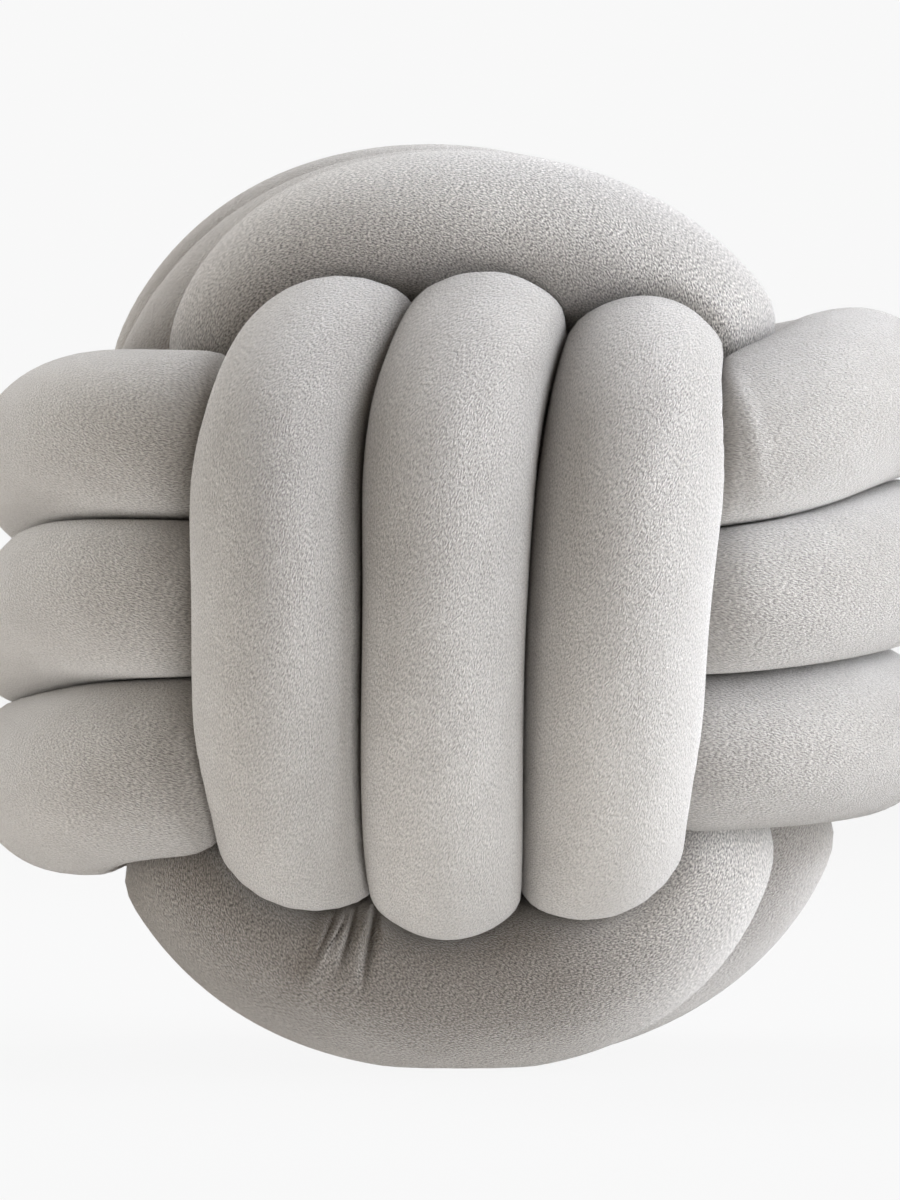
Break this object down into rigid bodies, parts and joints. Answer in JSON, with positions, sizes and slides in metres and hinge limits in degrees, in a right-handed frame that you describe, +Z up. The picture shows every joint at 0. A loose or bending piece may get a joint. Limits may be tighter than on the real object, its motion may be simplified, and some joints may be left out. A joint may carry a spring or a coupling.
{
  "type": "knot cushion",
  "caption": "Round cushion made of a long stuffed velvet tube tied into a ball knot, with a small flat rest underneath.",
  "frame": {"origin": "on the surface that the cushion rests on, under the middle of its bounding box", "axes": "+Z up; -Y is the front, where three upright strands show between the side strands; +X to the right of the front"},
  "size_m": [0.303, 0.2834, 0.2842],
  "materials": {
    "velvet": "short-pile plush, light warm grey, matt with a pale sheen at grazing angles"
  },
  "bodies": {
    "root": {"knot_tube": "velvet"}
  },
  "joints": []
}
